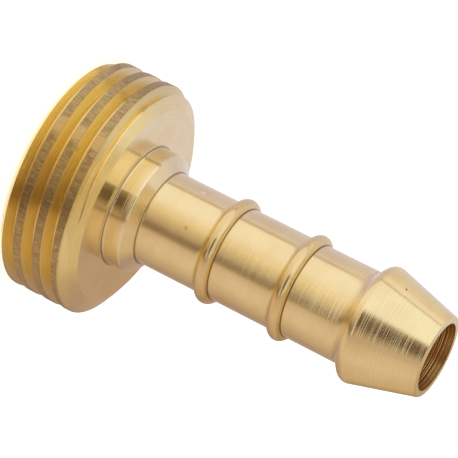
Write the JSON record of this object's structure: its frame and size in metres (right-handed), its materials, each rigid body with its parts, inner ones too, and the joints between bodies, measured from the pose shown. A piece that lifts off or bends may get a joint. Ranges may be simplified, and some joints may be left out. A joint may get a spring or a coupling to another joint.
{
  "type": "threaded hose tail",
  "caption": "Turned metal hose tail: a short threaded disc head, a plain hub, and a tube with rounded beads and a tapered barb for a push-on hose, bored right through.",
  "frame": {"origin": "centre of the back face of the threaded head, which the part stands on", "axes": "+Z along the bore from the head to the barbed tip; X and Y are level, and +X is where the thread groove's middle is 3.073 mm above the back face"},
  "size_m": [0.02, 0.02, 0.0347],
  "materials": {
    "turned_brass": "turned bright, uncoated, with fine tool lines and flat chatter marks on the thread crests"
  },
  "bodies": {
    "root": {"hose_tail": "turned_brass"}
  },
  "joints": []
}
